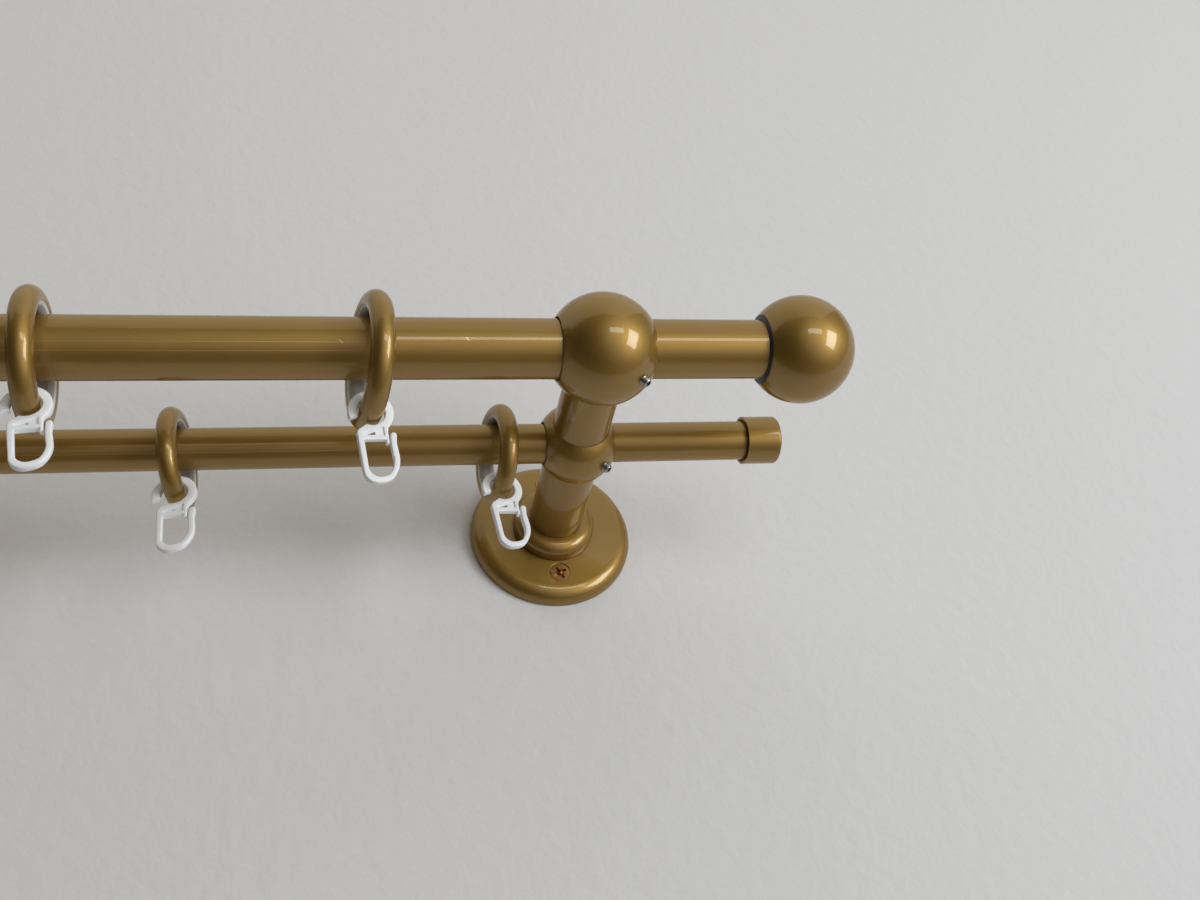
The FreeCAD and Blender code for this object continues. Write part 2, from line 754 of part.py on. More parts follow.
def ring_set(row, offset, pole_radius, outer_radius, section, rings):
    """Every ring on one pole, with its liner and its hook."""
    masters = ring_masters(f"{row}_ring", outer_radius, section)
    drop = masters["bore"] - pole_radius - dim.slide_gap
    reach = outer_radius - section + dim.eye_radius - dim.eye_gap
    for number, (share, turn, swing, lean) in enumerate(rings, start=1):
        x = share * dim.bracket_spacing
        about_z = FreeCAD.Rotation(FreeCAD.Vector(0, 0, 1), turn)
        about_x = FreeCAD.Rotation(FreeCAD.Vector(1, 0, 0), lean)
        in_plane = FreeCAD.Rotation(FreeCAD.Vector(0, 0, 1), swing)
        where = {"x": x, "y": -offset, "z": -drop, "turn": about_z * ALONG_X}
        ring = cut(f"{row}_hoop_{number}", masters["hoop"], masters["seat"])
        sub_part(f"{row}_ring_{number}", place(ring, **where))
        liner = cut(f"{row}_lining_{number}", masters["inner"], masters["hole"])
        sub_part(f"{row}_liner_{number}", place(liner, **where))
        hook = moulded(
            f"{row}_hook_body_{number}", dim.hook_thickness, hook_corners(), hook_window())
        down = about_z.multVec(about_x.multVec(FreeCAD.Vector(0, 0, -1)))
        sub_part(f"{row}_hook_{number}", place(
            hook, x=x + down.x * reach, y=down.y * reach - offset, z=down.z * reach - drop,
            turn=about_z * about_x * INTO_ROOM * in_plane))


def check_document():
    """Stops if any object failed or any piece has no sound solid."""
    doc.recompute()
    for obj in doc.Objects:
        if "Invalid" in obj.State or "Error" in obj.State:
            raise RuntimeError(f"{obj.Label} failed: {obj.State}")
    for piece in sub_parts:
        if piece.Shape.isNull() or not piece.Shape.isValid() or not piece.Shape.Solids:
            raise RuntimeError(f"{piece.Label} has no valid solid")


def write_parts():
    """Writes every piece to a file named for it."""
    os.makedirs("parts", exist_ok=True)
    for piece in sub_parts:
        piece.Shape.exportStep(os.path.join("parts", f"{piece.Label}.step"))
        print(f"{piece.Label}: {len(piece.Shape.Solids)} solids, {piece.Shape.Volume:.0f} mm3")


brackets()
pole("front_pole", dim.front_pole_radius, dim.front_overhang, dim.front_offset)
pole("rear_pole", dim.rear_pole_radius, dim.rear_overhang, dim.rear_offset)
for end_side, end_direction in (("left", -1), ("right", 1)):
    finial(end_side, end_direction)
    end_cap(end_side, end_direction)
ring_set(
    "front", dim.front_offset, dim.front_pole_radius, dim.front_ring_radius,
    dim.front_ring_section, FRONT_RINGS)
ring_set(
    "rear", dim.rear_offset, dim.rear_pole_radius, dim.rear_ring_radius,
    dim.rear_ring_section, REAR_RINGS)
check_document()
write_parts()
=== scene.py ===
# %% [markdown]
# # A double curtain pole, dressed for its photograph
# The real object is a pair of lacquered steel tubes on ball brackets, with lined rings and white plastic
# hooks. Its solids arrive here at their real size, each one at the origin with its place in its mesh.
# This file gives every surface its finish and rebuilds the few pieces whose small forms the solids leave
# out. Nothing is moved or resized, so each dimension below is read from the frame where it can be.

# %% Load the solids
import bmesh
import bpy
import json
import math
import numpy as np
from mathutils import Matrix, Vector


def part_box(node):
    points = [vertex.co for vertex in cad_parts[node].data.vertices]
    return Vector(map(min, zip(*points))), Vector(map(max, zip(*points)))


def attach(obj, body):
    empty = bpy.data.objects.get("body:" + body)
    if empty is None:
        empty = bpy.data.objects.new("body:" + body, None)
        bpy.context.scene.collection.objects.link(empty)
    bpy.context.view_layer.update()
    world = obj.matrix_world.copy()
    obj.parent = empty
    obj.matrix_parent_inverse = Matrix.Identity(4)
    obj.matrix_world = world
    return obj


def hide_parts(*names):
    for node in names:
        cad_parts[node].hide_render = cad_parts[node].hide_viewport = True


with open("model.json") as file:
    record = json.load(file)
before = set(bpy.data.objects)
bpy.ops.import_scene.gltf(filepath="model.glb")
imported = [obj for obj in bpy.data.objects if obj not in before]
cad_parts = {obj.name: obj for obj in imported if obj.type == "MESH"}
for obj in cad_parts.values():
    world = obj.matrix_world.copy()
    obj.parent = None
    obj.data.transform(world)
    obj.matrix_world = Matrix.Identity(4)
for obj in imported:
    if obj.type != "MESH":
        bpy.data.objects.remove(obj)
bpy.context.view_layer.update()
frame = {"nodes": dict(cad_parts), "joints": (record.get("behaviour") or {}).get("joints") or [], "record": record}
nodes = frame["nodes"]
hinges = [joint for joint in frame["joints"] if joint["type"] == "hinge"]
MM = 0.001
ROOT_BODY = "poles_and_brackets"
SMOOTH_ANGLE = math.radians(38)


def linked(name, data):
    """A new object in the scene."""
    made = bpy.data.objects.new(name, data)
    bpy.context.scene.collection.objects.link(made)
    return made


def smoothed(mesh):
    """A mesh shaded smooth up to its sharp edges."""
    mesh.shade_smooth()
    mesh.set_sharp_from_angle(angle=SMOOTH_ANGLE)
    return mesh


# %% [markdown]
# ## Shader maths as Python
# A finish is a formula over the surface: a base colour, a little cloudiness, a fine grain. Wiring that by
# hand takes a page of links, so one small class wraps a socket. Sums between sockets add Math nodes, and a
# single method adds every other kind of node. The same class serves the Geometry Nodes trees further down.


# %% A socket that takes part in sums
class Wire:
    """A node socket, or just a tree, that adds nodes and joins in sums."""

    def __init__(self, tree, socket=None):
        self.tree = tree
        self.socket = socket

    def node(self, kind, settings=None, values=None, output=0):
        """Adds a node, sets it up, gives its inputs values or links, and returns one output."""
        made = self.tree.nodes.new(kind)
        for name, value in (settings or {}).items():
            setattr(made, name, value)
        for key, value in (values or {}).items():
            for item in value if isinstance(value, list) else [value]:
                if isinstance(item, Wire):
                    self.tree.links.new(item.socket, made.inputs[key])
                else:
                    made.inputs[key].default_value = item
        return Wire(self.tree, made.outputs[output])

    def maths(self, operation, *terms):
        """A Math node over numbers and sockets."""
        return self.node("ShaderNodeMath", {"operation": operation}, dict(enumerate(terms)))

    def __add__(self, other):
        return self.maths("ADD", self, other)

    def __radd__(self, other):
        return self.maths("ADD", other, self)

    def __sub__(self, other):
        return self.maths("SUBTRACT", self, other)

    def __rsub__(self, other):
        return self.maths("SUBTRACT", other, self)

    def __mul__(self, other):
        return self.maths("MULTIPLY", self, other)

    def __rmul__(self, other):
        return self.maths("MULTIPLY", other, self)

    def __neg__(self):
        return self.maths("SUBTRACT", 0.0, self)

    def axes(self):
        """The X, Y and Z of a place or a direction."""
        first = self.node("ShaderNodeSeparateXYZ", None, {0: self}, "X")
        return [Wire(self.tree, socket) for socket in first.socket.node.outputs]

    def fade(self, start, end):
        """A smooth step from 1 at start to 0 at end."""
        return self.node("ShaderNodeMapRange", {"interpolation_type": "SMOOTHSTEP"}, {
            "Value": self, "From Min": start, "From Max": end, "To Min": 1.0, "To Max": 0.0})

    def noise(self, scale, detail=2.0, stretch=(1, 1, 1)):
        """Soft noise over a place, with its grain a stretch longer on each axis."""
        place = self.node("ShaderNodeMapping", None, {"Vector": self, "Scale": tuple(1 / s for s in stretch)})
        return self.node("ShaderNodeTexNoise", None, {"Vector": place, "Scale": scale, "Detail": detail})

    def blend(self, first, second):
        """A colour that goes from the first to the second as this socket goes from 0 to 1."""
        return self.node("ShaderNodeMix", {"data_type": "RGBA"}, {
            "Factor": self, 6: first, 7: second}, output=2)

    def bump(self, strength, distance):
        """A normal raised by this socket's height."""
        return self.node("ShaderNodeBump", None, {
            "Height": self, "Strength": strength, "Distance": distance})


def open_finish(name):
    """A new material with its shader and the surface's own coordinates."""
    material = bpy.data.materials.new(name)
    material.use_nodes = True
    tree = material.node_tree
    place = Wire(tree).node("ShaderNodeTexCoord", output="Object")
    return material, tree.nodes["Principled BSDF"], place


def close_finish(material, shader, values):
    """Links or sets the shader's inputs and hands the material back."""
    for name, value in values.items():
        if isinstance(value, Wire):
            material.node_tree.links.new(value.socket, shader.inputs[name])
        else:
            shader.inputs[name].default_value = value
    print("finish", material.name, len(material.node_tree.nodes), "nodes")
    return material


# %% [markdown]
# ## Bronze lacquer
# The tubes, brackets and rings are sprayed with one satin lacquer full of fine metal flakes. Under a window
# it shows a broad soft glow from the flakes and, on top, a smaller sharp reflection from the clear binder.
# So the shader is a rough metal under a thin coat. Slow clouds keep the colour from being flat, a fine grain
# stands for the flakes, and a faint bump gives the spray's orange peel.

# %% Make the lacquer
BRONZE_DEEP = (0.256, 0.146, 0.030, 1.0)
BRONZE_PALE = (0.346, 0.213, 0.049, 1.0)
EDGE_TINT = (0.80, 0.60, 0.32, 1.0)
CLOUD_SCALE = 22.0
FLAKE_SCALE = 2600.0
PEEL_SCALE = 420.0
FLAKE_SHARE = 0.65
SATIN = 0.41
PEEL_STRENGTH = 0.05
PEEL_DEPTH = 0.4 * MM


def lacquer_values(place, rub_and_reflection=None, rub_and_reflection_colour=None):
    """Shader inputs of the lacquer, with a mask for rubbed nicks and for lines that are partly rub and partly
    painted reflection.
    """
    cloud = place.noise(CLOUD_SCALE, 3.0)
    flake = place.noise(FLAKE_SCALE, 1.0)
    peel = place.noise(PEEL_SCALE, 1.0)
    tone = (1 - FLAKE_SHARE) * cloud + FLAKE_SHARE * flake
    colour = tone.blend(BRONZE_DEEP, BRONZE_PALE)
    roughness = SATIN + 0.10 * cloud + 0.06 * flake
    height = peel + 0.25 * flake
    if rub_and_reflection is not None:
        # The mask brightens the colour: real nicks, and lines that are partly rub and partly painted reflection
        colour = rub_and_reflection.blend(colour, rub_and_reflection_colour)
        roughness = roughness - 0.16 * rub_and_reflection
        height = height - 1.6 * rub_and_reflection
    return {
        "Base Color": colour,
        "Roughness": roughness,
        "Metallic": 0.85,
        "Specular Tint": EDGE_TINT,
        "Coat Weight": 0.85,
        "Coat Roughness": 0.06,
        "Normal": height.bump(PEEL_STRENGTH, PEEL_DEPTH),
    }


def bronze_lacquer():
    """The finish of the brackets, rings, finials and caps."""
    material, shader, place = open_finish("bronze_lacquer")
    return close_finish(material, shader, lacquer_values(place))


BRONZE = bronze_lacquer()

# %% [markdown]
# ## Lacquer with rubbed lines and painted reflection streaks
# Rings are pushed along the poles for years, and their lower edge rubs thin bright lines along the side that
# faces the room. These lines are partly that rub and partly painted reflection: a brighter, smoother colour
# at fixed directions round the tube, where the lacquer would mirror a sharp bright edge in the room. The
# lines follow the tube, so the mask needs the direction round the tube's axis, which an arctangent of the
# surface's own Y and Z gives. Noise drawn out along X breaks the lines up. Two slanting nicks near the
# bracket, which are real chips, join the same mask.

# %% Make the lacquer with rubs and painted reflection streaks
# The lines' brighter colour is partly rub and partly painted reflection; on the nicks it is real wear
RUB_AND_REFLECTION_COLOUR = (0.62, 0.36, 0.135, 1.0)
RUB_AND_REFLECTION_REACH = 0.40
RUB_AND_REFLECTION_END = 0.03
RUB_AND_REFLECTION_STRENGTH = 0.7
RUB_AND_REFLECTION_GRAIN = 30.0
RUB_AND_REFLECTION_STRETCH = (9, 1, 1)
RUB_AND_REFLECTION_BREAKS = (0.62, 0.38)
NICK_WIDTH = (0.1 * MM, 0.5 * MM)
NICK_LENGTH = (1.2 * MM, 2.2 * MM)
# Directions and widths of the lines of rub and painted reflection round each tube
FRONT_RUBS_AND_REFLECTIONS = ((-30.0, 1.2), (-45.5, 1.6))
REAR_RUBS_AND_REFLECTIONS = ((-26.0, 2.0), (-47.0, 1.8))
FRONT_NICKS = ((0.4354, -24.0), (0.3807, -28.5))


def lacquer_with_rubs_and_reflections(name, node, rubs_and_reflections, nicks=()):
    """Lacquer of one pole, with lines of rub and painted reflection and with nicks, at directions from the room's
    side, in degrees.
    """
    material, shader, place = open_finish(name)
    low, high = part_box(node)
    middle = (low + high) / 2
    x, y, z = place.axes()
    around = place.maths("ARCTAN2", z - middle.z, middle.y - y)
    broken = place.noise(RUB_AND_REFLECTION_GRAIN, 4.0, RUB_AND_REFLECTION_STRETCH)
    reach = place.maths("ABSOLUTE", x).fade(RUB_AND_REFLECTION_REACH - RUB_AND_REFLECTION_END, RUB_AND_REFLECTION_REACH)
    lines = 0.0
    # Each line is partly rub and partly a painted reflection streak at a fixed direction round the tube
    for direction, width in rubs_and_reflections:
        off = place.maths("ABSOLUTE", around - math.radians(direction))
        lines = off.fade(0.0, math.radians(width)) + lines
    rub_and_reflection = lines * reach * broken.fade(*RUB_AND_REFLECTION_BREAKS) * RUB_AND_REFLECTION_STRENGTH
    for place_x, direction in nicks:
        along = x - place_x
        up = (around - math.radians(direction)) * ((high.z - low.z) / 2)
        width = place.maths("ABSOLUTE", along + up).fade(*NICK_WIDTH)
        rub_and_reflection = rub_and_reflection + width * place.maths("ABSOLUTE", along - up).fade(*NICK_LENGTH)
    return close_finish(material, shader, lacquer_values(place, rub_and_reflection, RUB_AND_REFLECTION_COLOUR))


FRONT_LACQUER = lacquer_with_rubs_and_reflections("front_pole_lacquer", "front_pole", FRONT_RUBS_AND_REFLECTIONS, FRONT_NICKS)
REAR_LACQUER = lacquer_with_rubs_and_reflections("rear_pole_lacquer", "rear_pole", REAR_RUBS_AND_REFLECTIONS)

# %% [markdown]
# ## Plastics and screw metals
# The ring liners are grey, the finial's bush is a dark blue-grey, and the hooks are white with a slight
# sheen. Moulded plastic is never quite even, so each has a faint cloud and a fine bump. The grub screws are
# bare steel and the wall screws are browned brass, both with smears that change their roughness.

# %% Make the plastics and metals
MOULD_CLOUD = 60.0
MOULD_DEPTH = 0.3 * MM
SMEAR_SCALE = 900.0
SMEAR_DEPTH = 0.2 * MM


def plastic(name, deep, pale, roughness, grain):
    """A moulded plastic with a faint cloud and a fine grain."""
    material, shader, place = open_finish(name)
    cloud = place.noise(MOULD_CLOUD, 3.0)
    fine = place.noise(grain, 2.0)
    return close_finish(material, shader, {
        "Base Color": cloud.blend(deep, pale),
        "Roughness": roughness + 0.12 * (fine - 0.5),
        "Normal": fine.bump(0.06, MOULD_DEPTH),
    })


def screw_metal(name, deep, pale, roughness):
    """A bare or browned metal with smears."""
    material, shader, place = open_finish(name)
    smear = place.noise(SMEAR_SCALE, 3.0)
    return close_finish(material, shader, {
        "Base Color": smear.blend(deep, pale),
        "Roughness": roughness + 0.2 * (smear - 0.5),
        "Metallic": 1.0,
        "Normal": smear.bump(0.08, SMEAR_DEPTH),
    })


LINER = plastic("liner_plastic", (0.33, 0.315, 0.305, 1), (0.41, 0.395, 0.38, 1), 0.4, 700.0)
# A paler grey for the liners' ends: a painted highlight on their lips
LINER_END_HIGHLIGHT = plastic("liner_edge_plastic", (0.66, 0.64, 0.61, 1), (0.74, 0.72, 0.69, 1), 0.35, 700.0)
BUSH = plastic("bush_plastic", (0.022, 0.026, 0.036, 1), (0.034, 0.039, 0.052, 1), 0.46, 700.0)
WHITE = plastic("hook_plastic", (0.84, 0.85, 0.87, 1), (0.90, 0.905, 0.92, 1), 0.36, 500.0)
STEEL = screw_metal("screw_steel", (0.33, 0.32, 0.31, 1), (0.52, 0.51, 0.49, 1), 0.3)
BRASS = screw_metal("screw_brass", (0.24, 0.135, 0.055, 1), (0.56, 0.34, 0.15, 1), 0.32)

# %% [markdown]
# Nearly every solid is lacquered, so only the others are listed: a few by their own names, and those that
# come by the dozen by the kind of piece in the name. A solid takes one finish here, which replaces the plain
# one that it arrived with.

# %% Give every solid its finish
FINISHES = {
    "front_pole": FRONT_LACQUER, "rear_pole": REAR_LACQUER, "set_screws": STEEL, "flange_bolts": STEEL,
    "holder_screws": STEEL, "arm_plugs": STEEL, "wall_screws": BRASS,
}
FINISHES_BY_KIND = {"_liner_": LINER, "_hook_": WHITE, "_bush_": BUSH}


def finish_of(name):
    """The finish of a solid, by the kind of piece in its name or by the name itself."""
    for kind, finish in FINISHES_BY_KIND.items():
        if kind in name:
            return finish
    return FINISHES.get(name, BRONZE)


for name, solid in nodes.items():
    solid.data.materials.clear()
    solid.data.materials.append(finish_of(name))
print("finished", len(nodes), "solids")

# %% [markdown]
# The cut ends of a liner are painted pale, a painted highlight for the thin bright lip that catches the light.
# An end face looks along its ring's axis, which is square to both the hook's hinge and the way from the
# ring's middle down to that hinge.

# %% Give the liners' ends a painted highlight
END_FACING = 0.8


def painted_highlight_ends(joint):
    """Puts the pale painted highlight on the faces of one liner that look along its ring's axis."""
    liner = nodes[joint["name"].replace("_hook_", "_liner_").removesuffix("_swing")]
    low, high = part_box(liner.name)
    down = Vector(joint["pos_m"]) - (low + high) / 2
    axis = Vector(joint["axis"]).cross(down).normalized()
    liner.data.materials.append(LINER_END_HIGHLIGHT)
    ends = [face for face in liner.data.polygons if abs(face.normal.dot(axis)) > END_FACING]
    for face in ends:
        face.material_index = 1
    return len(ends)


print("pale faces", [painted_highlight_ends(joint) for joint in hinges])

# %% [markdown]
# ## Curtain hooks
# Each hook is moulded in one shot: an open eye that snaps on the ring, and below it a bar and a bent loop
# with a springy tip. The solids have its outline with sharp edges. A flat curve with a small bevel gives
# the same outline with the soft edges that a mould leaves, and a second spline cuts a panel above the bar.
# A thinner plate fills the panel again, which leaves it sunk on both faces with the little window at its
# narrow end. The outlines are drawn once, about the middle of the eye, in millimetres.

# %% Draw the hook's outline
HOOK_THICKNESS = 3.0
HOOK_EDGE = 0.55
WEB_THICKNESS = 1.3
WEB_EDGE = 0.15
EYE_RADIUS = 6.2
EYE_BAND = 3.8
EYE_FREE_END = 198
EYE_NECK = -48
EYE_WEB = -115
KNEE_ROUND = 0.414
FLOOR_ROUND = 0.14
SIDE_ROUND = 0.23
TIP_ROUND = 0.9
SHOULDER_ROUND = 0.35
ARC_STEP = math.radians(9)
EDGE_STEPS = 2
SEAM = 0.01


def arc_side(start, end, bulge):
    """Points from start up to but not including end, on an arc that rises bulge times half its chord."""
    if not bulge:
        return [start]
    chord = Vector(end) - Vector(start)
    turn = 4 * math.atan(bulge)
    radius = chord.length / (2 * math.sin(abs(turn) / 2))
    lift = math.copysign(radius * math.cos(turn / 2), bulge)
    normal = Vector((-chord.y, chord.x)).normalized()
    centre = (Vector(start) + Vector(end)) / 2 + normal * lift
    first = math.atan2(start[1] - centre.y, start[0] - centre.x)
    count = max(2, math.ceil(abs(turn) / ARC_STEP))
    angles = [first + turn * step / count for step in range(count)]
    return [(centre.x + radius * math.cos(a), centre.y + radius * math.sin(a)) for a in angles]


def trace(corners):
    """Points along a closed outline whose corners are x, y and the bulge of the side after them."""
    points = []
    for corner, following in zip(corners, corners[1:] + corners[:1]):
        points += arc_side(corner[:2], following[:2], corner[2] if len(corner) == 3 else 0.0)
    return points


def eye_arc(radius, start, end):
    """Two arcs of the eye and the corner that ends them, between directions in degrees."""
    bulge = math.tan(math.radians(end - start) / 8)
    angles = [math.radians(a) for a in (start, (start + end) / 2, end)]
    corners = [(radius * math.cos(a), radius * math.sin(a)) for a in angles]
    return [(*corners[0], bulge), (*corners[1], bulge), corners[2]]


HOOK_OUTLINE = [
    # Outside of the eye, the nib on the neck and the underside of the bar
    *eye_arc(EYE_RADIUS + EYE_BAND, EYE_FREE_END, EYE_NECK),
    (6.4, -9.6), (6.4, -15.0), (5.1, -15.0), (5.1, -13.2), (-4.4, -13.2),
    # Inside of the loop, round the springy tip and back along its outside
    (-4.0, -25.6, KNEE_ROUND), (0.5, -30.4, FLOOR_ROUND), (5.0, -29.0, SIDE_ROUND),
    (7.2, -20.1), (6.9, -15.4), (7.2, -11.0, -TIP_ROUND), (10.0, -11.0),
    (9.5, -15.0), (10.0, -20.1, -SIDE_ROUND), (5.9, -31.4, -FLOOR_ROUND), (0.5, -33.2, -KNEE_ROUND),
    # The long leg, its shoulder and the inside of the eye
    (-6.3, -28.4), (-7.2, -11.0, -SHOULDER_ROUND), (-5.2, -7.4),
    *eye_arc(EYE_RADIUS, EYE_WEB, EYE_FREE_END),
]
HOOK_PANEL = [(-4.4, -11.0), (4.6, -11.0), (4.6, -7.2), (-4.4, -10.3)]
HOOK_WEB = [(-5.6, -12.2), (5.4, -12.2), (5.4, -6.4), (-5.6, -9.6)]
HOOK_WINDOW = [(-3.4, -10.6), (0.8, -10.6), (0.8, -9.0)]


def settled(source):
    """The mesh that a linked object evaluates to, with its seams merged; the object goes."""
    mesh = bpy.data.meshes.new_from_object(source.evaluated_get(bpy.context.evaluated_depsgraph_get()))
    bpy.data.objects.remove(source)
    seams = bmesh.new()
    seams.from_mesh(mesh)
    bmesh.ops.remove_doubles(seams, verts=seams.verts, dist=SEAM)
    bmesh.ops.recalc_face_normals(seams, faces=seams.faces)
    seams.to_mesh(mesh)
    seams.free()
    return mesh


def moulded_plate(outlines, thickness, edge):
    """A flat plate with its edges rounded, from an outline and the holes in it."""
    curve = bpy.data.curves.new("plate", "CURVE")
    curve.dimensions = "2D"
    curve.fill_mode = "BOTH"
    for corners in outlines:
        points = trace(corners)
        spline = curve.splines.new("POLY")
        spline.points.add(len(points) - 1)
        for point, (x, y) in zip(spline.points, points):
            point.co = (x, y, 0.0, 1.0)
        spline.use_cyclic_u = True
    curve.extrude = thickness / 2 - edge
    curve.bevel_depth = edge
    curve.bevel_resolution = EDGE_STEPS
    curve.offset = -edge
    return settled(linked("plate", curve))


def moulded_hook():
    """The hook as a mesh in millimetres: its frame joined to the thin web in its panel."""
    body = linked("hook", moulded_plate([HOOK_OUTLINE, HOOK_PANEL], HOOK_THICKNESS, HOOK_EDGE))
    web = linked("web", moulded_plate([HOOK_WEB, HOOK_WINDOW], WEB_THICKNESS, WEB_EDGE))
    fuse = body.modifiers.new("web", "BOOLEAN")
    fuse.operation = "UNION"
    fuse.solver = "EXACT"
    fuse.use_self = True
    fuse.object = web
    mesh = settled(body)
    bpy.data.objects.remove(web)
    return smoothed(mesh)


HOOK_MESH = moulded_hook()
print("hook", len(HOOK_MESH.polygons), "faces")

# %% [markdown]
# A hook is laid over its solid with no typed-in place. Its hinge gives the middle of the eye and the
# direction square to its plane. The one thing left is how far it swings in that plane, and that is the
# angle between the solid's centre of volume and the drawn hook's.


# %% Lay a hook over each solid
def volume_centre(mesh):
    """The centre of the volume that a closed mesh holds."""
    mesh.calc_loop_triangles()
    corners = np.array([[mesh.vertices[i].co[:] for i in t.vertices] for t in mesh.loop_triangles])
    volumes = np.einsum("ij,ij->i", corners[:, 0], np.cross(corners[:, 1], corners[:, 2]))
    return Vector((corners.sum(1) / 4 * volumes[:, None]).sum(0) / volumes.sum())


def lay_hook(joint):
    """A moulded hook in place of the solid that one hinge carries."""
    node = joint["name"].removesuffix("_swing")
    pivot = Vector(joint["pos_m"])
    normal = Vector(joint["axis"]).normalized()
    lean = math.asin(-normal.z)
    turn = math.atan2(normal.x, -normal.y)
    plane = Matrix.Translation(pivot) @ Matrix.Rotation(turn, 4, "Z") @ Matrix.Rotation(
        lean + math.pi / 2, 4, "X")
    hangs = plane.inverted() @ volume_centre(nodes[node].data)
    drawn = volume_centre(HOOK_MESH)
    swing = math.atan2(hangs.y, hangs.x) - math.atan2(drawn.y, drawn.x)
    mesh = HOOK_MESH.copy()
    mesh.transform(plane @ Matrix.Rotation(swing, 4, "Z") @ Matrix.Scale(MM, 4))
    mesh.materials.clear()
    mesh.materials.append(WHITE)
    hook = linked(f"moulded_{node}", mesh)
    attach(hook, joint["child"])
    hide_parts(node)
    return math.degrees(swing)


swings = [lay_hook(joint) for joint in hinges]
print("hooks swing", [round(angle, 1) for angle in swings])

# %% [markdown]
# ## Screws
# Two kinds of screw show. Countersunk wood screws hold the flanges to the wall, and short grub screws under
# the balls clamp the poles. A thread is a thin bar swept along a spiral, and a drive recess is a tool cut out
# of the head, so a Geometry Nodes tree can build one screw from a few sizes and then stand a copy on each
# point of a small mesh. The points carry the direction and the length of their screw as attributes, and a
# random spin with a fixed seed keeps the recesses from lining up.

# %% Parts of a screw tree
ROUND_SIDES = 40
TURN_STEPS = 18
RIDGE_SIDES = 6


def open_tree(name, sizes):
    """A Geometry Nodes tree with points and named sizes as inputs, which are given back as wires."""
    tree = bpy.data.node_groups.new(name, "GeometryNodeTree")
    tree.interface.new_socket("Points", in_out="INPUT", socket_type="NodeSocketGeometry")
    for label in sizes:
        tree.interface.new_socket(label, in_out="INPUT", socket_type="NodeSocketFloat")
    tree.interface.new_socket("Screws", in_out="OUTPUT", socket_type="NodeSocketGeometry")
    source = tree.nodes.new("NodeGroupInput")
    return tree, {label: Wire(tree, source.outputs[label]) for label in ("Points", *sizes)}


def raised(shape, height):
    """A shape moved along Z."""
    offset = shape.node("ShaderNodeCombineXYZ", None, {"Z": height})
    return shape.node("GeometryNodeTransform", None, {"Geometry": shape, "Translation": offset})


def taper(start, foot_radius, top_radius, foot, height, sides=ROUND_SIDES):
    """A round bar or cone that starts at a height along Z."""
    solid = start.node("GeometryNodeMeshCone", None, {
        "Vertices": sides, "Radius Bottom": foot_radius, "Radius Top": top_radius, "Depth": height})
    return raised(solid, foot)


def thread(start, foot_radius, top_radius, foot, height, pitch, ridge):
    """A round ridge wound along Z, with the radii at its middle line."""
    turns = start.maths("DIVIDE", height, pitch)
    path = start.node("GeometryNodeCurveSpiral", None, {
        "Resolution": TURN_STEPS, "Rotations": turns, "Start Radius": foot_radius, "End Radius": top_radius,
        "Height": height})
    section = start.node("GeometryNodeCurvePrimitiveCircle", None, {
        "Resolution": RIDGE_SIDES, "Radius": ridge})
    swept = start.node("GeometryNodeCurveToMesh", None, {
        "Curve": path, "Profile Curve": section, "Fill Caps": True})
    return raised(swept, foot)


def joined(solids):
    """Solids made one."""
    return solids[0].node("GeometryNodeMeshBoolean", {"operation": "UNION", "solver": "EXACT"}, {
        "Mesh 2": solids, "Self Intersection": True})


def cut_out(solid, tools):
    """A solid with tools taken out of it."""
    return solid.node("GeometryNodeMeshBoolean", {"operation": "DIFFERENCE", "solver": "EXACT"}, {
        "Mesh 1": solid, "Mesh 2": tools, "Self Intersection": True})


def close_tree(tree, screw, points, finish, seed):
    """Stands the screw on each point, as long and in the direction that the point says, and spins it."""
    direction = screw.node("GeometryNodeInputNamedAttribute", {"data_type": "FLOAT_VECTOR"}, {
        "Name": "direction"})
    length = screw.node("GeometryNodeInputNamedAttribute", {"data_type": "FLOAT"}, {"Name": "length"})
    aimed = screw.node("FunctionNodeAlignRotationToVector", {"axis": "Z"}, {"Vector": direction})
    angle = screw.node("FunctionNodeRandomValue", {"data_type": "FLOAT"}, {
        2: 0.0, 3: 2 * math.pi, "Seed": seed}, output=1)
    spin = screw.node("FunctionNodeAxisAngleToRotation", None, {"Axis": (0, 0, 1), "Angle": angle})
    turned = screw.node("FunctionNodeRotateRotation", {"rotation_space": "LOCAL"}, {
        "Rotation": aimed, "Rotate By": spin})
    stretch = screw.node("ShaderNodeCombineXYZ", None, {"X": 1.0, "Y": 1.0, "Z": length})
    stood = screw.node("GeometryNodeInstanceOnPoints", None, {
        "Points": points, "Instance": screw, "Rotation": turned, "Scale": stretch})
    real = screw.node("GeometryNodeRealizeInstances", None, {"Geometry": stood})
    dressed = screw.node("GeometryNodeSetMaterial", None, {"Geometry": real, "Material": finish})
    tree.links.new(dressed.socket, tree.nodes.new("NodeGroupOutput").inputs["Screws"])
    print("tree", tree.name, len(tree.nodes), "nodes")


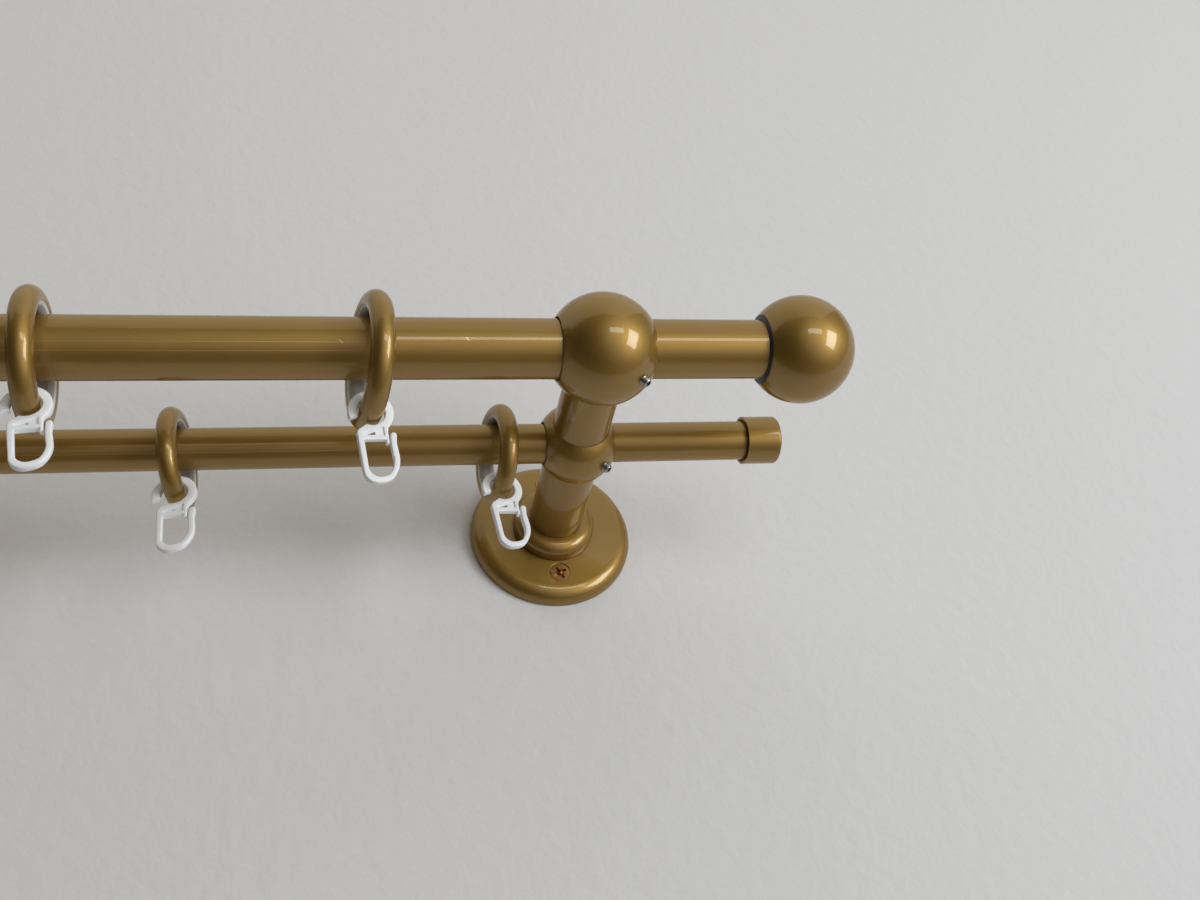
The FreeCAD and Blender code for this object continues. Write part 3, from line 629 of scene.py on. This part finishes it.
def stand_screws(tree, sizes, places, node):
    """Runs a tree on places, each a point, a direction and a length, and puts its mesh for a solid."""
    points, directions, lengths = zip(*places)
    seats = bpy.data.meshes.new(f"{tree.name}_seats")
    seats.from_pydata(points, [], [])
    facing = seats.attributes.new("direction", "FLOAT_VECTOR", "POINT")
    facing.data.foreach_set("vector", np.array(directions).ravel())
    seats.attributes.new("length", "FLOAT", "POINT").data.foreach_set("value", lengths)
    holder = linked(f"{tree.name}_seats", seats)
    modifier = holder.modifiers.new("screws", "NODES")
    modifier.node_group = tree
    for item in tree.interface.items_tree:
        if item.name in sizes:
            modifier[item.identifier] = sizes[item.name]
    made = bpy.data.meshes.new_from_object(holder.evaluated_get(bpy.context.evaluated_depsgraph_get()))
    bpy.data.objects.remove(holder)
    # The Boolean leaves an empty material slot in front of the finish
    made.materials.pop(index=0)
    screws = linked(tree.name, smoothed(made))
    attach(screws, ROOT_BODY)
    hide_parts(node)
    print(tree.name, len(made.polygons), "faces")


# %% [markdown]
# The wood screw has a thin rim round its countersunk head, a cross recess that narrows inwards, a plain neck
# in the flange and a coarse thread that runs out to a point. Its four places come from the stud pattern in
# the record, and its face lies where the solid's does.

# %% Make the wall screws
WALL_SCREW = {
    "Head Radius": 5.35 * MM, "Rim": 0.35 * MM, "Head Height": 3.5 * MM, "Neck Radius": 1.9 * MM,
    "Neck Length": 9.4 * MM, "Thread Radius": 2.2 * MM, "Thread Length": 29.0 * MM, "Point Length": 6.0 * MM,
    "Pitch": 2.3 * MM, "Recess Length": 7.4 * MM, "Recess Width": 1.55 * MM, "Recess Depth": 2.0 * MM,
}
WALL_SCREW_SEED = 3
RIDGE = 0.34 * MM
RIDGE_SINK = 1.6
THREAD_SIDES = 24
POINT_RADIUS = 0.1 * RIDGE
# The pit in the middle of the cross, as shares of the recess's width and depth
PIT_FOOT = 0.4
PIT_TOP = 1.5
PIT_DEPTH = 1.7
PIT_LIFT = 0.05
PIT_SIDES = 8


def wall_screw_tree():
    """One countersunk wood screw along Z, with its face at the origin."""
    tree, size = open_tree("countersunk_screws", WALL_SCREW)
    start = Wire(tree)
    core = size["Thread Radius"] - RIDGE_SINK * RIDGE
    wound = size["Thread Radius"] - RIDGE
    thread_foot = -size["Neck Length"] - size["Thread Length"]
    point_foot = thread_foot - size["Point Length"]
    body = joined([
        taper(start, size["Head Radius"], size["Head Radius"], -size["Rim"], size["Rim"]),
        taper(start, size["Neck Radius"], size["Head Radius"], -size["Head Height"],
              size["Head Height"] - size["Rim"]),
        taper(start, size["Neck Radius"], size["Neck Radius"], -size["Neck Length"],
              size["Neck Length"] - size["Head Height"]),
        taper(start, core, core, thread_foot, size["Thread Length"], THREAD_SIDES),
        taper(start, POINT_RADIUS, core, point_foot, size["Point Length"], THREAD_SIDES),
        thread(start, wound, wound, thread_foot, size["Thread Length"], size["Pitch"], RIDGE),
        thread(start, RIDGE, wound, point_foot + 2 * RIDGE, size["Point Length"] - 2 * RIDGE,
               size["Pitch"], RIDGE),
    ])
    wings = []
    for along, across in (("X", "Y"), ("Y", "X")):
        box = start.node("ShaderNodeCombineXYZ", None, {
            along: size["Recess Length"], across: size["Recess Width"], "Z": 2 * size["Recess Depth"]})
        wings.append(start.node("GeometryNodeMeshCube", None, {"Size": box}))
    middle = taper(start, PIT_FOOT * size["Recess Width"], PIT_TOP * size["Recess Width"],
                   -PIT_DEPTH * size["Recess Depth"], (PIT_DEPTH + PIT_LIFT) * size["Recess Depth"],
                   PIT_SIDES)
    close_tree(tree, cut_out(body, [*wings, middle]), size["Points"], BRASS, WALL_SCREW_SEED)
    return tree


def wall_screw_places():
    """The middle of each screw's face, from the record's stud pattern."""
    dims = frame["record"]["mounts"][0]["dims"]
    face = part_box("wall_screws")[0].y
    half_x, half_z = dims["spacing_x_mm"] * MM / 2, dims["spacing_y_mm"] * MM / 2
    return [((x, face, z), (0, -1, 0), 1.0) for x in (-half_x, half_x) for z in (-half_z, half_z)]


stand_screws(wall_screw_tree(), WALL_SCREW, wall_screw_places(), "wall_screws")

# %% [markdown]
# A grub screw has no head: a fine thread all along, a bevel at its outer end and a six-sided socket. Its
# length is the way from the pole's skin to a little outside the ball, so it differs between the two balls,
# and each point gives its own. The direction out of the ball is typed in, as the frame doesn't hold it.

# %% Make the grub screws
GRUB_SCREW = {
    "Length": 10.0 * MM, "Radius": 2.5 * MM, "Bevel": 0.35 * MM, "Pitch": 0.85 * MM,
    "Socket Radius": 1.45 * MM, "Socket Depth": 2.0 * MM,
}
GRUB_SEED = 5
GRUB_RIDGE = 0.25 * MM
GRUB_RIDGE_SINK = 1.5
GRUB_STAND = 3.0 * MM
GRUB_GAP = 0.1 * MM
SOCKET_SIDES = 6
SIDEWAYS = math.radians(34)
FORWARDS = math.radians(9)
GRUB_DIRECTION = Vector((
    math.sin(SIDEWAYS), -math.cos(SIDEWAYS) * math.sin(FORWARDS), -math.cos(SIDEWAYS) * math.cos(FORWARDS)))


def grub_screw_tree():
    """One hex-socket grub screw along Z, with its outer end at the origin."""
    tree, size = open_tree("grub_screws", GRUB_SCREW)
    start = Wire(tree)
    core = size["Radius"] - GRUB_RIDGE_SINK * GRUB_RIDGE
    wound = size["Radius"] - GRUB_RIDGE
    straight = size["Length"] - size["Bevel"]
    body = joined([
        taper(start, core, core, -size["Length"], straight),
        taper(start, core, core - size["Bevel"], -size["Bevel"], size["Bevel"]),
        thread(start, wound, wound, -size["Length"] + GRUB_RIDGE, straight - GRUB_RIDGE,
               size["Pitch"], GRUB_RIDGE),
    ])
    socket = taper(start, size["Socket Radius"], size["Socket Radius"], -size["Socket Depth"],
                   2 * size["Socket Depth"], SOCKET_SIDES)
    close_tree(tree, cut_out(body, [socket]), size["Points"], STEEL, GRUB_SEED)
    return tree


def grub_screw_places():
    """The outer end of each grub screw, with its length as a share of the tree's."""
    places = []
    for row in ("front", "rear"):
        pole_low, pole_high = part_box(f"{row}_pole")
        pole_radius = (pole_high.z - pole_low.z) / 2
        across = math.sqrt(1 - GRUB_DIRECTION.x ** 2)
        tip = (pole_radius + GRUB_SCREW["Radius"] * GRUB_DIRECTION.x) / across + GRUB_GAP
        for side in ("left", "right"):
            low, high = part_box(f"{row}_holder_{side}")
            middle = Vector(((low.x + high.x) / 2, (pole_low.y + pole_high.y) / 2, (low.z + high.z) / 2))
            end = (high.z - low.z) / 2 + GRUB_STAND
            share = (end - tip) / GRUB_SCREW["Length"]
            places.append((tuple(middle + GRUB_DIRECTION * end), tuple(GRUB_DIRECTION), share))
    return places


stand_screws(grub_screw_tree(), GRUB_SCREW, grub_screw_places(), "set_screws")

# %% [markdown]
# ## Wall and light
# The real pole hangs on a pale plastered wall, which is the only backdrop it needs. The wall shows from the
# room's side alone, so the part can be looked at from behind as well, and it is open where the flanges
# cover it, so that their hollow backs get some light.

# %% Build the wall
WALL_SET_BACK = 0.6 * MM
WALL_SIZE = 8.0
WALL_PAINT = (0.694, 0.680, 0.682, 1.0)
WALL_GRAIN = 110.0
FLANGE_LAP = 2 * MM


def wall_paint():
    """Matt paint with the faint grain of a roller, clear from behind and under the flanges."""
    material, shader, place = open_finish("wall_paint")
    close_finish(material, shader, {
        "Base Color": WALL_PAINT,
        "Roughness": 0.9,
        "Normal": place.noise(WALL_GRAIN, 4.0).bump(0.22, 2 * MM),
    })
    low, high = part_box("wall_flange_right")
    x, _, z = place.axes()
    along = place.maths("ABSOLUTE", x) - (low.x + high.x) / 2
    reach = place.maths("SQRT", along * along + z * z)
    under = place.maths("LESS_THAN", reach, (high.x - low.x) / 2 - FLANGE_LAP)
    behind = place.node("ShaderNodeNewGeometry", output="Backfacing")
    clear = place.node("ShaderNodeBsdfTransparent")
    mixed = place.node("ShaderNodeMixShader", None, {
        0: place.maths("MAXIMUM", behind, under), 1: Wire(place.tree, shader.outputs[0]), 2: clear})
    place.tree.links.new(mixed.socket, place.tree.nodes["Material Output"].inputs["Surface"])
    return material


def build_wall():
    """A flat sheet that belongs to the room and not to the object."""
    half = WALL_SIZE / 2
    mesh = bpy.data.meshes.new("wall")
    mesh.from_pydata([(x, WALL_SET_BACK, z) for x, z in (
        (-half, -half), (half, -half), (half, half), (-half, half))], [], [(0, 1, 2, 3)])
    mesh.materials.append(wall_paint())
    linked("wall", mesh)
    print("wall faces", mesh.polygons[0].normal[:])


build_wall()

# %% [markdown]
# Daylight comes from the right, and leaves the small bright patch on each ball. A long low opening in front
# draws the thin streak along the tubes, and a pale ceiling lifts their tops. Each is an area lamp, because a
# shiny tube shows the shape of what lights it. The light from everywhere else is the world's: warm and soft,
# stronger to the right and in front than to the left, so that the left side of each ball falls off into
# brown. The daylight is cool and the world is warm, and the wall shows the sum of the two as plain white.

# %% Light the room
LIGHT_TARGET = Vector((0.5, -0.12, -0.02))
LAMPS = {
    "window": {"direction": (0.725, -0.660, -0.19), "distance": 2.6, "size": (0.95, 1.35), "power": 33.0,
               "colour": (0.90, 1.0, 1.08)},
    "door": {"direction": (0.24, -0.96, -0.05), "distance": 1.5, "size": (0.70, 0.26), "power": 2.7,
             "colour": (0.90, 1.0, 1.0)},
    "ceiling": {"direction": (-0.10, -0.35, 0.93), "distance": 2.2, "size": (5.2, 3.3), "power": 34.0,
                "colour": (0.98, 1.0, 0.90)},
}
WORLD_COLOUR = (1.0, 0.90, 0.81, 1.0)
WORLD_LEAST = 0.03


def area_light(name, direction, distance, size, power, colour):
    """A rectangular lamp that faces the part from a direction."""
    lamp = bpy.data.lights.new(name, "AREA")
    lamp.shape = "RECTANGLE"
    lamp.size, lamp.size_y = size
    lamp.energy = power
    lamp.color = colour
    holder = linked(name, lamp)
    holder.location = LIGHT_TARGET + Vector(direction).normalized() * distance
    holder.rotation_euler = Vector(direction).to_track_quat("Z", "Y").to_euler()


def room_world():
    """A soft room: lighter to the right and in front, darker to the left, some light behind the wall."""
    world = bpy.data.worlds.new("room")
    world.use_nodes = True
    tree = world.node_tree
    start = Wire(tree)
    across, inwards, up = start.node("ShaderNodeTexCoord", output="Generated").axes()
    front = (0.45 * across - 0.85 * inwards - 0.28 * up).fade(1.0, 0.6)
    behind = inwards.fade(1.0, 0.3)
    soft = 0.10 + 0.03 * up + 0.20 * across - 0.04 * inwards
    level = start.maths("MAXIMUM", soft + 0.58 * front + 0.40 * behind, WORLD_LEAST)
    tree.links.new(level.socket, tree.nodes["Background"].inputs["Strength"])
    tree.nodes["Background"].inputs["Color"].default_value = WORLD_COLOUR
    bpy.context.scene.world = world


for name, lamp in LAMPS.items():
    area_light(name, **lamp)
room_world()
print("lamps", {name: lamp["power"] for name, lamp in LAMPS.items()})

# %% [markdown]
# ## Camera
# The photograph looks up at the right-hand bracket from below and a little to the left. The camera's place
# and turn come from fitting the two tubes, the balls and the flange to their outlines in the picture.

# %% Set the camera
CAMERA_PLACE = Vector((0.34864, -0.59445, -0.38963))
CAMERA_YAW = math.radians(17.730)
CAMERA_PITCH = math.radians(35.747)
CAMERA_ROLL = math.radians(11.576)
FOCAL_PIXELS = 1310.8
PHOTO_WIDTH = 1200
SENSOR = 36.0


def photo_camera():
    """A camera that looks along the wall's normal turned by yaw, pitch and roll."""
    lens = bpy.data.cameras.new("photo_camera")
    lens.sensor_width = SENSOR
    lens.lens = FOCAL_PIXELS / PHOTO_WIDTH * SENSOR
    lens.clip_start = 0.01
    camera = linked("photo_camera", lens)
    turn = Matrix.Rotation(-CAMERA_YAW, 4, "Z") @ Matrix.Rotation(math.pi / 2 + CAMERA_PITCH, 4, "X")
    camera.matrix_world = Matrix.Translation(CAMERA_PLACE) @ turn @ Matrix.Rotation(-CAMERA_ROLL, 4, "Z")
    bpy.context.scene.camera = camera
    print("camera lens", round(lens.lens, 2), "mm")


photo_camera()

# %% [markdown]
# The new hooks and screws fill the same space as the solids they stand for.

# %% Set the view transform
bpy.context.scene.view_settings.view_transform = "Standard"
